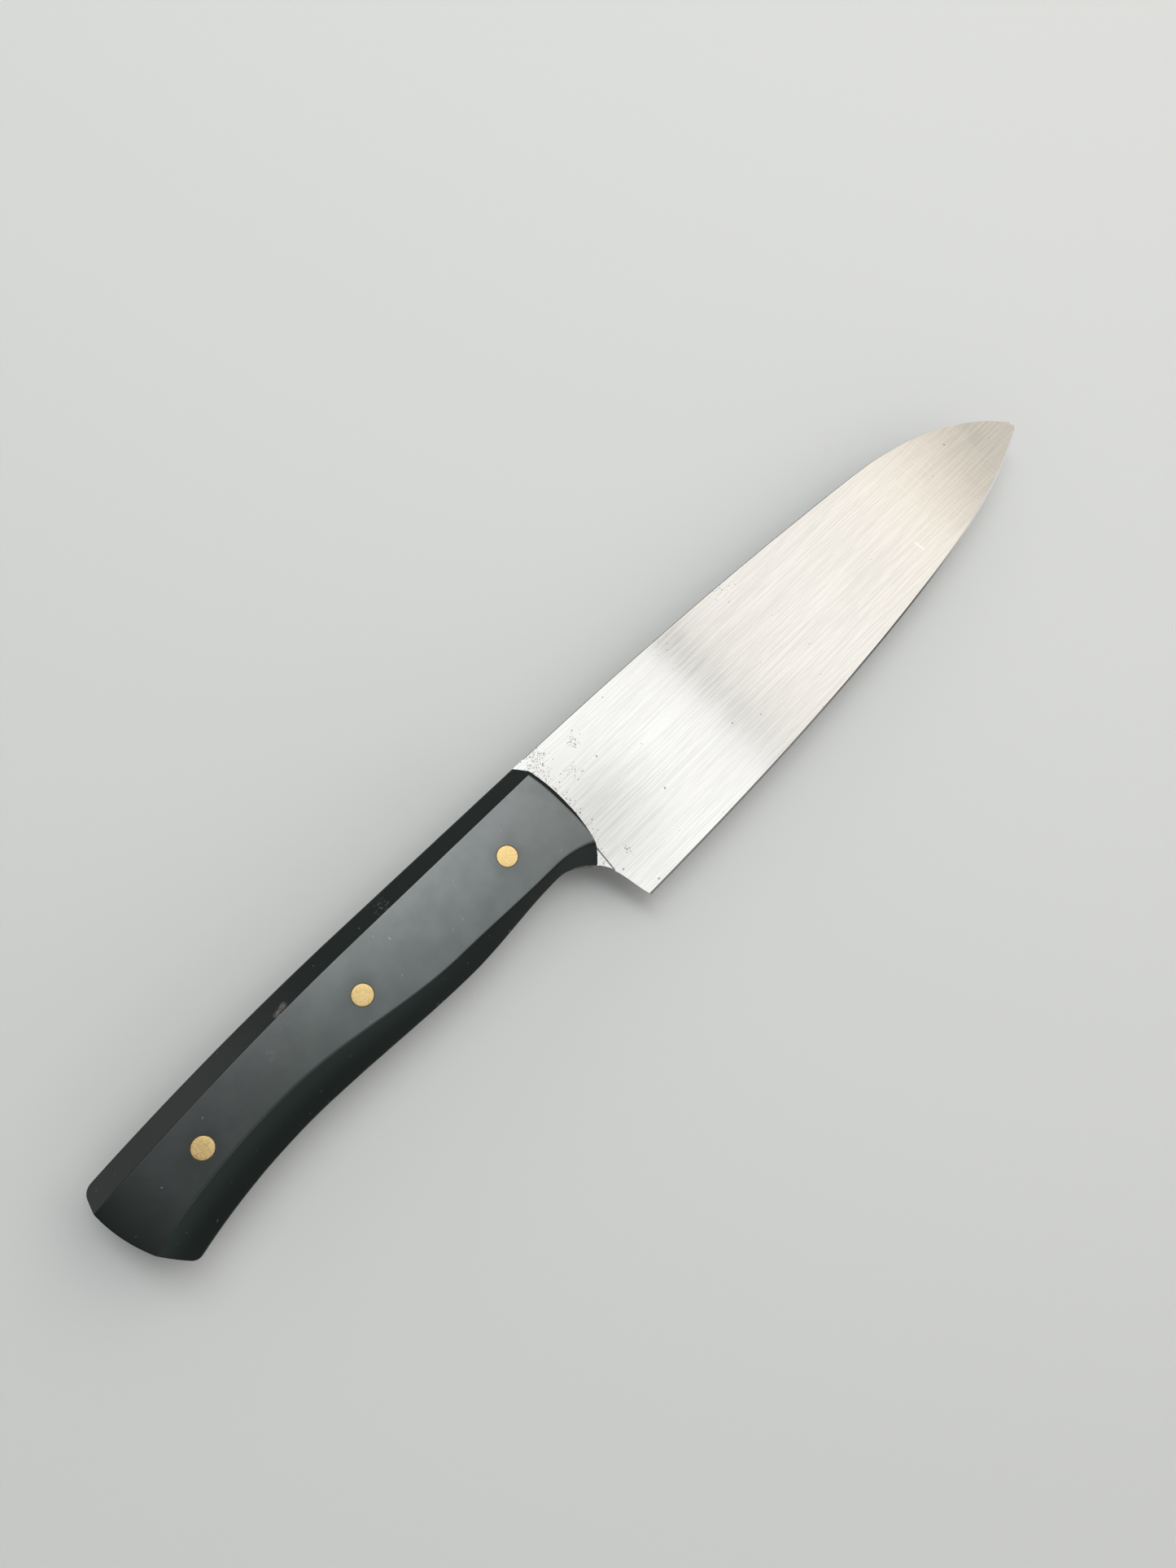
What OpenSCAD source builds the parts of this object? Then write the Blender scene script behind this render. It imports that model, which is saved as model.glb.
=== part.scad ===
// Chef knife: a flat ground blade with a full tang, two faceted black scales, and three brass pins.
// It lies on its left scale. +X runs to the tip, +Y to the spine, and +Z up, to the right side.
// The origin is below the middle of the knife, on the plane that the left scale rests on.
// The modules draw the knife with X from the front of the handle, Y from the line of the pins,
// and Z from the middle of the tang. placed() then moves it to the origin above.

/* [Blade] */
// Length of the blade, from the front of the handle to the tip
blade_l = 166; // [130:0.2:230]
// Height of the spine above the line of the pins
spine_up = 13.3; // [12:0.1:16]
// Depth of the cutting edge at the heel, below the line of the pins
heel_down = 29.6; // [22:0.2:40]
// How far the heel stands ahead of the front of the handle
heel_out = 2; // [1:0.1:6]
// Depth of the tip below the line of the pins, before it is rounded
tip_down = 11; // [4:0.1:14]
// Length of the rounding on each side of the tip
tip_round = 2.2; // [0.6:0.1:3]
// Thickness of the tang, and of the spine at the handle
spine_t = 2.5; // [1.8:0.1:4]
// Thickness of the spine at the tip
tip_t = 1.2; // [0.8:0.1:1.6]
// Thickness of the blade just above the cutting bevel
grind_t = 0.4; // [0.2:0.05:0.7]
// Height of the cutting bevel
cut_h = 0.5; // [0.3:0.05:1.2]

/* [Blade curves] */
// Distance from the tip back to the knee, where the spine starts its fall to the tip
knee_back = 48; // [35:0.2:60]
// Fall of the spine from the handle to the knee
knee_fall = 4.4; // [1:0.1:7]
// Slope of the spine at the knee, in degrees
knee_slope = 4.5; // [0:0.5:12]
// Slope of the spine at the tip, in degrees
spine_tip_slope = 48.5; // [25:0.5:60]
// Distance from the tip back to the belly, where the edge starts its rise to the tip
belly_back = 56.2; // [40:0.2:70]
// Rise of the edge from the heel to the belly
belly_rise = 4.8; // [1:0.1:8]
// Slope of the edge at the belly, in degrees
belly_slope = 6; // [0:0.5:14]
// Slope of the edge at the tip, in degrees
edge_tip_slope = 27.5; // [20:0.5:45]
// Slope of the choil where it flicks out to the heel, in degrees
heel_slope = 70; // [50:0.5:80]
// Share of the choil that keeps the full thickness of the tang, below the plunge line
plunge_share = 0.3; // [0.2:0.01:0.45]
// How far the plunge line leans forward from the choil to the spine
plunge_lean = 2.2; // [0.2:0.1:2.2]

/* [Handle] */
// Length of the handle
handle_l = 125.4; // [116:0.2:150]
// Thickness of each scale
scale_t = 8; // [6:0.1:11]
// Height of the straight side of a scale, from the tang to its bevels
land_h = 1.2; // [0.6:0.1:2.5]
// Radius of the curved front of the handle, seen from the side of the knife
front_r = 40; // [32:1:90]
// Width of the chamfer on the front edge of the flat
front_chamfer = 1.1; // [0.5:0.1:1.8]
// Height of the cut-off lower corner at the front of the scales
corner_cut = 2.4; // [1:0.1:3]
// Length of the straight part of the top line, from the front of the handle
top_straight = 55.4; // [40:0.2:75]
// Fall of the top line at the butt
top_fall = 3.4; // [0:0.1:6]
// Radius of the curved butt, seen from the side of the knife
butt_r = 33; // [28:1:60]
// Height of the furthest point of the butt above the line of the pins
butt_peak = 4.5; // [0:0.1:7]
// Length of the rounded upper corner of the butt
butt_top_round = 1.9; // [1:0.1:4]
// Length of the rounded lower corner of the butt
butt_low_round = 1.6; // [0.5:0.1:3]

/* [Underside of the handle] */
// Distance from the front of the handle back to its lower front corner
corner_back = 3; // [2.6:0.1:3.8]
// Depth of that corner below the line of the pins
corner_down = 15.9; // [15:0.1:18]
// Distance from the front of the handle back to the finger groove
groove_back = 12; // [10:0.5:16]
// Depth of the finger groove below the line of the pins
groove_down = 11.7; // [10:0.1:13]
// Distance from the front of the handle back to the swell
swell_back = 40.5; // [32:0.5:50]
// Depth of the swell below the line of the pins
swell_down = 13.5; // [12:0.1:16]
// Distance from the front of the handle back to the waist
waist_back = 84; // [72:0.5:92]
// Depth of the waist below the line of the pins
waist_down = 11.7; // [11:0.1:14]
// Depth of the lower corner of the butt below the line of the pins
butt_down = 16; // [14:0.1:19]

/* [Bevels of the scales] */
// Width of the upper bevel at the front of the handle
top_bevel_front = 3.5; // [2.5:0.1:5]
// Width of the upper bevel at the butt
top_bevel_butt = 4.7; // [3:0.1:6]
// Width of the lower bevel at the front corner
low_bevel_corner = 5.1; // [3:0.1:7]
// Width of the lower bevel at the finger groove
low_bevel_groove = 2.7; // [1.5:0.1:5]
// Width of the lower bevel at the swell
low_bevel_swell = 5.1; // [3:0.1:8]
// Width of the lower bevel at the waist
low_bevel_waist = 7.8; // [5:0.1:8.5]
// Width of the lower bevel at the butt
low_bevel_butt = 8.1; // [5:0.1:9]

/* [Pins and glue] */
// Diameter of the pins
pin_d = 4.76; // [3:0.01:6]
// Distance from the front of the handle back to the front pin
front_pin_back = 18.4; // [12:0.1:26]
// Distance from one pin to the next
pin_gap = 42.4; // [36:0.1:46]
// Gap between a pin and its hole, all round
pin_clear = 0.05; // [0.02:0.01:0.15]
// Thickness of the glue film between the tang and each scale
glue_t = 0.1; // [0.05:0.01:0.2]

/* [Hidden] */
$fn = 96;

// Smoothness: steps along each stretch of a curve
line_steps = 28;
round_steps = 8;
choil_steps = 8;
blade_steps = 22;
tip_steps = 4;
bevel_steps = 64;
bevel_cuts = 6;
front_steps = 16;
// How far cutting shapes reach past what they cut
past = 2;
// Points of an outline that lie closer than this are one point
same = 0.001;

handle_t = spine_t + 2 * (glue_t + scale_t);
scale_z = spine_t / 2 + glue_t;
pin_backs = [for (i = [0:2]) front_pin_back + i * pin_gap];

// Points that the blade curves pass through
tip_reach = tip_round * (cos(spine_tip_slope) + cos(edge_tip_slope)) / 4;
tip = [blade_l + tip_reach, -tip_down];
heel = [heel_out, -heel_down];
spine_start = [heel_out, spine_up];
knee = tip_back(knee_back, spine_up - knee_fall);
belly = tip_back(belly_back, belly_rise - heel_down);
corner = [-corner_back, -corner_down];
corner_slope = atan(2 * (corner_down - groove_down) / (groove_back - corner_back));
plunge_foot = choil(plunge_share);
plunge_head = [plunge_foot[0] + plunge_lean, spine_up];

// Shares of the last stretches of the spine and the edge that are left by the rounded tip
spine_left = 1 - tip_round / norm(tip - knee);
edge_left = 1 - tip_round / norm(tip - belly);

// Where the underside meets the butt
butt_low_back = handle_l - pow(butt_down + butt_peak, 2) / (2 * butt_r);

function tip_back(back, y) = [blade_l - back, y];
function mix(a, b, u) = a + (b - a) * u;
function ease(u) = u * u * (3 - 2 * u);
function heading(a) = [cos(a), sin(a)];
function steps(n) = [for (i = [0:n]) i / n];
function distinct(p) = [for (i = [0:len(p) - 1]) if (norm(p[(i + 1) % len(p)] - p[i]) > same) p[i]];

// Cubic curve from p, heading a degrees, to q, heading b degrees
function curve(p, a, q, b, u) =
  let (reach = norm(q - p) / 3)
  let (p1 = p + reach * heading(a))
  let (q1 = q - reach * heading(b))
  let (v = 1 - u)
  v * v * v * p + 3 * v * v * u * p1 + 3 * v * u * u * q1 + u * u * u * q;

// Rounded corner c between the points p and q
function corner_curve(p, c, q, u) = mix(mix(p, c, u), mix(c, q, u), u);
function rounded(p, c, q) = [for (u = steps(round_steps)) corner_curve(p, c, q, u)];

// Stretches of the blade's outline
function choil(u) = curve(corner, -corner_slope, heel, -heel_slope, u);
function spine_back(u) = curve(spine_start, 0, knee, -knee_slope, u);
function spine_fore(u) = curve(knee, -knee_slope, tip, -spine_tip_slope, u);
function edge_back(u) = curve(heel, 0, belly, belly_slope, u);
function edge_fore(u) = curve(belly, belly_slope, tip, edge_tip_slope, u);
function tip_curve(u) = corner_curve(spine_fore(spine_left), tip, edge_fore(edge_left), u);

// A value along the underside, at a distance back from the front of the handle.
// v gives it at the corner, groove, swell, waist and butt.
function along(back, v) =
  back < groove_back ? v[1] + (v[0] - v[1]) * pow((groove_back - back) / (groove_back - corner_back), 2)
  : back < swell_back ? mix(v[1], v[2], ease((back - groove_back) / (swell_back - groove_back)))
  : back < waist_back ? mix(v[2], v[3], ease((back - swell_back) / (waist_back - swell_back)))
  : v[3] + (v[4] - v[3]) * pow((back - waist_back) / (butt_low_back - waist_back), 2);

// Outline of the handle, as heights at a distance back and as lengths at a height
function low_y(back) = -along(back, [corner_down, groove_down, swell_down, waist_down, butt_down]);
function top_y(back) =
  spine_up - top_fall * pow(max(0, back - top_straight) / (handle_l - top_straight), 2);
function front_x(y) = -y * y / (2 * front_r);
function butt_x(y) = -handle_l + pow(y - butt_peak, 2) / (2 * butt_r);

// Plan widths of the bevels
function top_bevel(back) = mix(top_bevel_front, top_bevel_butt, back / handle_l);
function low_bevel(back) =
  along(back, [low_bevel_corner, low_bevel_groove, low_bevel_swell, low_bevel_waist, low_bevel_butt]);

// Handle outline from the lower front corner, round the butt, to a point back from the front on the top line
function handle_sides(top_front_back) =
  let (top_end = spine_up - top_fall)
  let (butt_top = [butt_x(top_end), top_end])
  let (butt_low = [-butt_low_back, -butt_down])
  let (low_end = butt_low_back - butt_low_round)
  let (low_turn = butt_low_round - butt_down)
  let (top_turn = top_end - butt_top_round)
  let (top_end_back = -butt_top[0] - butt_top_round)
  concat(
    [for (u = steps(2 * line_steps)) let (back = mix(corner_back, low_end, u)) [-back, low_y(back)]],
    rounded([-low_end, low_y(low_end)], butt_low, [butt_x(low_turn), low_turn]),
    [for (u = steps(line_steps)) let (y = mix(low_turn, top_turn, u)) [butt_x(y), y]],
    rounded([butt_x(top_turn), top_turn], butt_top, [-top_end_back, top_y(top_end_back)]),
    [for (u = steps(line_steps)) let (back = mix(top_end_back, top_front_back, u)) [-back, top_y(back)]]
  );

// Plan of a scale: the handle's sides, closed by the curved front and the cut-off lower corner
function scale_outline() =
  let (cut_y = corner_cut - corner_down)
  distinct(concat(
    handle_sides(-front_x(spine_up)),
    [for (u = steps(front_steps)) let (y = mix(spine_up, cut_y, u)) [front_x(y), y]]
  ));

// Plan of the tang: the handle's sides, closed by the choil and the plunge line
function tang_outline() =
  distinct(concat(
    [for (u = steps(choil_steps)) choil(plunge_share * (1 - u))],
    handle_sides(-front_x(spine_up)),
    [plunge_head]
  ));

// Closed solid through rings of points, with flat ends or with an end that runs to a point
module loft(rings, apex = []) {
  n = len(rings[0]);
  last = len(rings) - 1;
  sides = [
    for (i = [0:last - 1], j = [0:n - 1]) let (a = i * n + j) let (b = i * n + (j + 1) % n)
      each [[a, b, b + n], [a, b + n, a + n]]
  ];
  start_cap = [for (j = [1:n - 2]) [0, j + 1, j]];
  end_flat = [for (j = [1:n - 2]) [last * n, last * n + j, last * n + j + 1]];
  end_point = [for (j = [0:n - 1]) [last * n + j, last * n + (j + 1) % n, (last + 1) * n]];
  end_cap = len(apex) == 0 ? end_flat : end_point;
  points = concat([for (ring = rings) each ring], len(apex) == 0 ? [] : [apex]);
  polyhedron(points, concat(sides, start_cap, end_cap));
}

// Half the thickness of the spine at a distance ahead of the handle
function spine_half(x) = mix(spine_t, tip_t, max(0, x - heel_out) / (blade_l - heel_out)) / 2;

// Section of the blade from the spine at s, past a shoulder at b of half thickness h, to the edge at e
function section(s, b, h, e) =
  let (w = spine_half(s[0]))
  [[s[0], s[1], w], [s[0], s[1], -w], [b[0], b[1], -h], [e[0], e[1], 0], [b[0], b[1], h]];

// Section with a cutting bevel, and section at the choil, where the grind is cut off square
function edge_section(s, e) =
  let (bevel = min(cut_h, norm(s - e) / 2))
  section(s, e + bevel * (s - e) / norm(s - e), grind_t / 2, e);
function choil_section(s, e) =
  section(s, e, mix(spine_t, grind_t, (spine_up - e[1]) / (spine_up + heel_down)) / 2, e);

// Sections of the ground blade: inside the tang, along the choil, then along the edge to the tip
function blade_sections() =
  let (root = [-past, 0])
  concat(
    [choil_section(plunge_head + root + [0, -past], plunge_foot + root + [0, 2 * past])],
    [for (i = [0:choil_steps - 1]) let (u = i / choil_steps)
      choil_section(mix(plunge_head, spine_start, u), choil(mix(plunge_share, 1, u)))],
    [for (u = steps(blade_steps)) edge_section(spine_back(u), edge_back(u))],
    [for (i = [1:blade_steps]) let (u = i / blade_steps)
      edge_section(spine_fore(spine_left * u), edge_fore(edge_left * u))],
    [for (i = [1:tip_steps - 1]) let (u = i / tip_steps / 2) edge_section(tip_curve(u), tip_curve(1 - u))]
  );

// Section of the bevelled body of a scale at a distance back, reaching past its sides, top and underside
function bevel_section(back) =
  let (rise = scale_t - land_h)
  let (z_land = scale_z + land_h)
  let (z_flat = scale_z + scale_t)
  let (top = top_y(back))
  let (low = low_y(back))
  let (top_run = top_bevel(back) / rise)
  let (low_run = low_bevel(back) / rise)
  let (low_inner = [-back, low + low_run * (rise + past), z_flat + past])
  let (low_outer = [-back, low - past, z_land - past / low_run])
  concat(
    [
      [-back, low - past, scale_z - past],
      [-back, top + past, scale_z - past],
      [-back, top + past, z_land - past / top_run],
      [-back, top - top_run * (rise + past), z_flat + past]
    ],
    [for (u = steps(bevel_cuts)) mix(low_inner, low_outer, u)]
  );

// Section of the cutter for the chamfer on the front of the flat, which fades out at the lower bevel
function chamfer_section(y) =
  let (z_flat = scale_z + scale_t)
  let (fade_y = corner_down - low_bevel_corner)
  let (w = front_chamfer * min(1, (y + fade_y) / fade_y))
  let (x = front_x(y))
  [
    [x - w - past, y, z_flat + past],
    [x + past, y, z_flat - w - past],
    [x + past, y, z_flat + past]
  ];

module placed() {
  translate([(handle_l - blade_l) / 2, (heel_down - spine_up) / 2, handle_t / 2]) children();
}

module at_pins(which) {
  for (i = which) translate([-pin_backs[i], 0, 0]) children();
}

// Holes for the pins, through the whole handle
module pin_holes() {
  at_pins([0:2]) cylinder(h = handle_t + 2 * past, d = pin_d + 2 * pin_clear, center = true);
}

// The blade and its tang are one piece of steel
module blade() {
  color("gainsboro")
    difference() {
      union() {
        linear_extrude(spine_t, center = true) polygon(tang_outline());
        loft(blade_sections(), concat(tip_curve(0.5), 0));
      }
      pin_holes();
    }
}

// Scale on the right side. The left one is its mirror image.
module handle_scale() {
  color([0.14, 0.16, 0.16])
    difference() {
      intersection() {
        translate([0, 0, scale_z]) linear_extrude(scale_t) polygon(scale_outline());
        loft([for (u = steps(bevel_steps)) bevel_section(mix(-past, handle_l + past, u))]);
      }
      loft([for (u = steps(front_steps)) chamfer_section(mix(-corner_down, spine_up + past, u))]);
      pin_holes();
    }
}

module glue_film() {
  color([0.16, 0.12, 0.08])
    difference() {
      translate([0, 0, spine_t / 2]) linear_extrude(glue_t) polygon(scale_outline());
      pin_holes();
    }
}

// Pin through both scales and the tang, flush with the flats
module pin(i) {
  color([0.8, 0.66, 0.42]) at_pins([i]) cylinder(h = handle_t, d = pin_d, center = true);
}

placed() blade();
placed() handle_scale();  // right_scale
placed() mirror([0, 0, 1]) handle_scale();  // left_scale
placed() pin(0);  // front_pin
placed() pin(1);  // middle_pin
placed() pin(2);  // rear_pin
placed() glue_film();  // right_glue_film
placed() mirror([0, 0, 1]) glue_film();  // left_glue_film
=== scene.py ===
import math

import bmesh
import bpy
from mathutils import Matrix, Vector


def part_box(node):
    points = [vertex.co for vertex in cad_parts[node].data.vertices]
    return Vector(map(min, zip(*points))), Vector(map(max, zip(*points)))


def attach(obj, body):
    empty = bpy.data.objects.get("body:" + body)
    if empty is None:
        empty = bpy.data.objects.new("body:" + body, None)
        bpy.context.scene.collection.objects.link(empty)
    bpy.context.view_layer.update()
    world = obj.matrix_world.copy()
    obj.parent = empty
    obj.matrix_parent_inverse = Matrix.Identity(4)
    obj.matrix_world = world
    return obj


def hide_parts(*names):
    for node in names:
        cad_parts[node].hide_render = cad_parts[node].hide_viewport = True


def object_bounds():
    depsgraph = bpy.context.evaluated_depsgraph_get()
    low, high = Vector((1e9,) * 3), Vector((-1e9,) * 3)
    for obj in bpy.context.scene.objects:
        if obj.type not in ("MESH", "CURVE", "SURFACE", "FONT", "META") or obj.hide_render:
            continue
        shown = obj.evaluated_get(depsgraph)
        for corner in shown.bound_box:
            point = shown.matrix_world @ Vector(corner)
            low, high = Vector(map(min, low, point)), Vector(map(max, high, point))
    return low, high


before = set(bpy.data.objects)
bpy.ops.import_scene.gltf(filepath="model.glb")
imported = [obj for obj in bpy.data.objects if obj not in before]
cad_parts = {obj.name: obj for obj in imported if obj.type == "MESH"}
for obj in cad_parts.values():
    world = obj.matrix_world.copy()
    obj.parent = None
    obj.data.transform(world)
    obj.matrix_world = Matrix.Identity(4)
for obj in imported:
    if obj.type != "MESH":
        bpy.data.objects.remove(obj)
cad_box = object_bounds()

# Lengths are in millimetres. X runs from the front of the handle to the tip, Y from the line of the pins
# to the spine, and Z from the middle of the tang to the right side of the knife.
MM = 0.001


def middle_of(node):
    low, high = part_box(node)
    return (low + high) / 2 / MM


def size_of(node):
    low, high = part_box(node)
    return (high - low) / MM


# Places and sizes that the frame gives
PINS = ["front_pin", "middle_pin", "rear_pin"]
GLUE_FILMS = ["right_glue_film", "left_glue_film"]
ORIGIN = Vector((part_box("right_scale")[1].x / MM, middle_of("front_pin").y, middle_of("blade").z))
PIN_X = [middle_of(pin).x - ORIGIN.x for pin in PINS]
PIN_R = size_of("front_pin").x / 2
SPINE_T = size_of("blade").z
HANDLE_L = size_of("right_scale").x
BLADE_L = size_of("blade").x - HANDLE_L
SPINE_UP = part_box("blade")[1].y / MM - ORIGIN.y
HEEL_DOWN = ORIGIN.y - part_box("blade")[0].y / MM
SCALE_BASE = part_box("right_scale")[0].z / MM - ORIGIN.z
SCALE_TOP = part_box("right_scale")[1].z / MM - ORIGIN.z
FLOOR_Z = cad_box[0].z / MM - ORIGIN.z

# Outline of the blade: its heel and tip, and the bends of its spine and edge with their slopes in degrees
HEEL_OUT = 2.0
HEEL_SLOPE = 70.0
TIP_DOWN = 11.0
TIP_ROUND = 2.2
KNEE_BACK = 48.0
KNEE_FALL = 4.4
KNEE_SLOPE = 4.5
SPINE_TIP_SLOPE = 48.5
BELLY_BACK = 56.2
BELLY_RISE = 4.8
BELLY_SLOPE = 6.0
EDGE_TIP_SLOPE = 27.5

# Grind of the blade: thickness at the tip and above the cutting bevel, and the bevel's height
TIP_T = 1.2
GRIND_T = 0.4
CUT_H = 0.5
CHOIL_CUT = 0.01
# Where the grind starts along the choil, and how far the plunge line leans towards the tip
PLUNGE_SHARE = 0.3
PLUNGE_LEAN = 2.2
# Root of the ground blade inside the tang: back from the plunge line, below the spine and above the choil
ROOT_IN = 2.0
ROOT_FALL = 2.0
ROOT_RISE = 4.0
# Eased edge of the spine, and the share of it at which it turns
SPINE_EASE = 0.16
SPINE_EASE_TURN = 0.3
# Share of the thickness that is left at the tip, and the stretch over which it thins
TIP_THIN = 0.5
TIP_THIN_BACK = 14.0
# Most that half the thickness gains per length of a section, so that the tip comes to a point
APEX_RISE = 0.15

# Handle
LAND_H = 1.2
FRONT_R = 40.0
FRONT_CHAMFER = 1.1
TOP_STRAIGHT = 55.4
TOP_FALL = 3.4
BUTT_R = 33.0
BUTT_PEAK = 4.5
BUTT_TOP_ROUND = 1.9
BUTT_LOW_ROUND = 1.6
BUTT_EASE = 0.5
EDGE_EASE = 0.14
EDGE_EASE_STEPS = 2
EDGE_EASE_ANGLE = 40
FLAT_CROWN = 0.2
# How softly the creases blend, with a softer one at the groove for the first finger
CREASE_SOFT = 0.3
GROOVE_SOFT = 1.0
GROOVE_SOFT_REACH = 24.0

# Underside of the handle: its depth and the width of its bevel at the corner, groove, swell, waist and
# butt, and how far back from the front these lie
LOW_DEPTHS = [15.9, 11.7, 13.5, 11.7, 16.0]
LOW_BEVELS = [5.1, 2.7, 5.1, 7.8, 8.1]
CORNER_BACK = 3.0
GROOVE_BACK = 12.0
SWELL_BACK = 40.5
WAIST_BACK = 84.0
BUTT_LOW_BACK = HANDLE_L - (LOW_DEPTHS[4] + BUTT_PEAK) ** 2 / (2 * BUTT_R)
# Width of the upper bevel at the front and at the butt
TOP_BEVELS = [3.5, 4.7]

# Pins and the glue round them: the holes widen a little at their mouths
PIN_CLEAR = 0.05
HOLE_EASE = 0.08
HOLE_EASE_DEPTH = 0.8
HOLE_MOUTH = 0.1
CUTTER_SPARE = 1.0
GLUE_SINK = 0.03
# Worn edge of a pin's end: places in from its side and down from its end, as shares of its size
PIN_EDGE = 0.12
PIN_EDGE_TURNS = [(0.0, 2.0), (0.15, 0.7), (0.6, 0.25), (2.0, 0.1)]
PIN_CROWN = 0.02

# Angles in degrees over which an edge stays sharp
SHARP_STEEL = 14
SHARP_LAMINATE = 32
SHARP_TURNED = 35


def mix(a, b, u):
    return a + (b - a) * u


def clamp(u):
    return min(1.0, max(0.0, u))


def ease(u):
    return u * u * (3 - 2 * u)


def heading(degrees):
    """Direction at an angle from the X axis."""
    return Vector((math.cos(math.radians(degrees)), math.sin(math.radians(degrees))))


def shares(count):
    """Even steps from 0 to 1."""
    return [i / count for i in range(count + 1)]


def curve(p, a, q, b, u):
    """Point at u of the cubic from p, heading a degrees, to q, heading b degrees."""
    reach = (q - p).length / 3
    p1 = p + reach * heading(a)
    q1 = q - reach * heading(b)
    v = 1 - u
    return v * v * v * p + 3 * v * v * u * p1 + 3 * v * u * u * q1 + u * u * u * q


def corner_curve(p, c, q, u):
    """Point at u of the arc from p to q that rounds the corner c."""
    return mix(mix(p, c, u), mix(c, q, u), u)


def smooth_min(a, b, soft):
    """The lower of two heights, blended where they lie within soft of each other."""
    near = max(soft - abs(a - b), 0.0) / soft
    return min(a, b) - near * near * soft / 4


# Outline of the blade
TIP_REACH = TIP_ROUND * (heading(SPINE_TIP_SLOPE).x + heading(EDGE_TIP_SLOPE).x) / 4
TIP = Vector((BLADE_L + TIP_REACH, -TIP_DOWN))
HEEL = Vector((HEEL_OUT, -HEEL_DOWN))
SPINE_START = Vector((HEEL_OUT, SPINE_UP))
KNEE = Vector((BLADE_L - KNEE_BACK, SPINE_UP - KNEE_FALL))
BELLY = Vector((BLADE_L - BELLY_BACK, BELLY_RISE - HEEL_DOWN))
CORNER = Vector((-CORNER_BACK, -LOW_DEPTHS[0]))
CORNER_SLOPE = math.degrees(math.atan(2 * (LOW_DEPTHS[0] - LOW_DEPTHS[1]) / (GROOVE_BACK - CORNER_BACK)))
SPINE_LEFT = 1 - TIP_ROUND / (TIP - KNEE).length
EDGE_LEFT = 1 - TIP_ROUND / (TIP - BELLY).length


def choil(u):
    return curve(CORNER, -CORNER_SLOPE, HEEL, -HEEL_SLOPE, u)


def spine_back(u):
    return curve(SPINE_START, 0, KNEE, -KNEE_SLOPE, u)


def spine_fore(u):
    return curve(KNEE, -KNEE_SLOPE, TIP, -SPINE_TIP_SLOPE, u)


def edge_back(u):
    return curve(HEEL, 0, BELLY, BELLY_SLOPE, u)


def edge_fore(u):
    return curve(BELLY, BELLY_SLOPE, TIP, EDGE_TIP_SLOPE, u)


def tip_curve(u):
    return corner_curve(spine_fore(SPINE_LEFT), TIP, edge_fore(EDGE_LEFT), u)


PLUNGE_FOOT = choil(PLUNGE_SHARE)
PLUNGE_HEAD = Vector((PLUNGE_FOOT.x + PLUNGE_LEAN, SPINE_UP))


# Outline of the handle
def along(back, values):
    """A value along the underside, from its values at the corner, groove, swell, waist and butt."""
    corner, groove, swell, waist, butt = values
    if back < GROOVE_BACK:
        return mix(groove, corner, ((GROOVE_BACK - back) / (GROOVE_BACK - CORNER_BACK)) ** 2)
    if back < SWELL_BACK:
        return mix(groove, swell, ease((back - GROOVE_BACK) / (SWELL_BACK - GROOVE_BACK)))
    if back < WAIST_BACK:
        return mix(swell, waist, ease((back - SWELL_BACK) / (WAIST_BACK - SWELL_BACK)))
    return mix(waist, butt, ((back - WAIST_BACK) / (BUTT_LOW_BACK - WAIST_BACK)) ** 2)


def low_y(back):
    return -along(back, LOW_DEPTHS)


def top_y(back):
    return SPINE_UP - TOP_FALL * (max(0.0, back - TOP_STRAIGHT) / (HANDLE_L - TOP_STRAIGHT)) ** 2


def front_x(y):
    return -y * y / (2 * FRONT_R)


def butt_x(y):
    return (y - BUTT_PEAK) ** 2 / (2 * BUTT_R) - HANDLE_L


# Rounded corners of the butt
LOW_END = BUTT_LOW_BACK - BUTT_LOW_ROUND
LOW_TURN = BUTT_LOW_ROUND - LOW_DEPTHS[4]
BUTT_LOW = Vector((-BUTT_LOW_BACK, -LOW_DEPTHS[4]))
BUTT_TOP = Vector((butt_x(SPINE_UP - TOP_FALL), SPINE_UP - TOP_FALL))
TOP_END = -BUTT_TOP.x - BUTT_TOP_ROUND
TOP_TURN = BUTT_TOP.y - BUTT_TOP_ROUND


def low_corner(u):
    start = Vector((-LOW_END, low_y(LOW_END)))
    end = Vector((butt_x(LOW_TURN), LOW_TURN))
    return corner_curve(start, BUTT_LOW, end, u)


def top_corner(u):
    start = Vector((-TOP_END, top_y(TOP_END)))
    end = Vector((butt_x(TOP_TURN), TOP_TURN))
    return corner_curve(start, BUTT_TOP, end, u)


def handle_sides(line_steps=60, round_steps=8):
    """Outline from the lower front corner, round the butt, to the front of the top line."""
    backs = [mix(CORNER_BACK, LOW_END, u) for u in shares(2 * line_steps)]
    points = [Vector((-back, low_y(back))) for back in backs]
    points += [low_corner(u) for u in shares(round_steps)[1:]]
    heights = [mix(LOW_TURN, TOP_TURN, u) for u in shares(line_steps)[1:]]
    points += [Vector((butt_x(y), y)) for y in heights]
    points += [top_corner(1 - u) for u in shares(round_steps)[1:]]
    backs = [mix(TOP_END, -front_x(SPINE_UP), u) for u in shares(line_steps)[1:]]
    return points + [Vector((-back, top_y(back))) for back in backs]


# Meshes
WELD = 0.002
GRAIN_UV = "grain"
UV_TILE = 100.0


def placed(point):
    """A point of the knife in the frame, in metres."""
    return (Vector(point) + ORIGIN) * MM


def link(name, data):
    """Puts a mesh, a lamp or a camera into the scene."""
    made = bpy.data.objects.new(name, data)
    bpy.context.scene.collection.objects.link(made)
    return made


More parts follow.
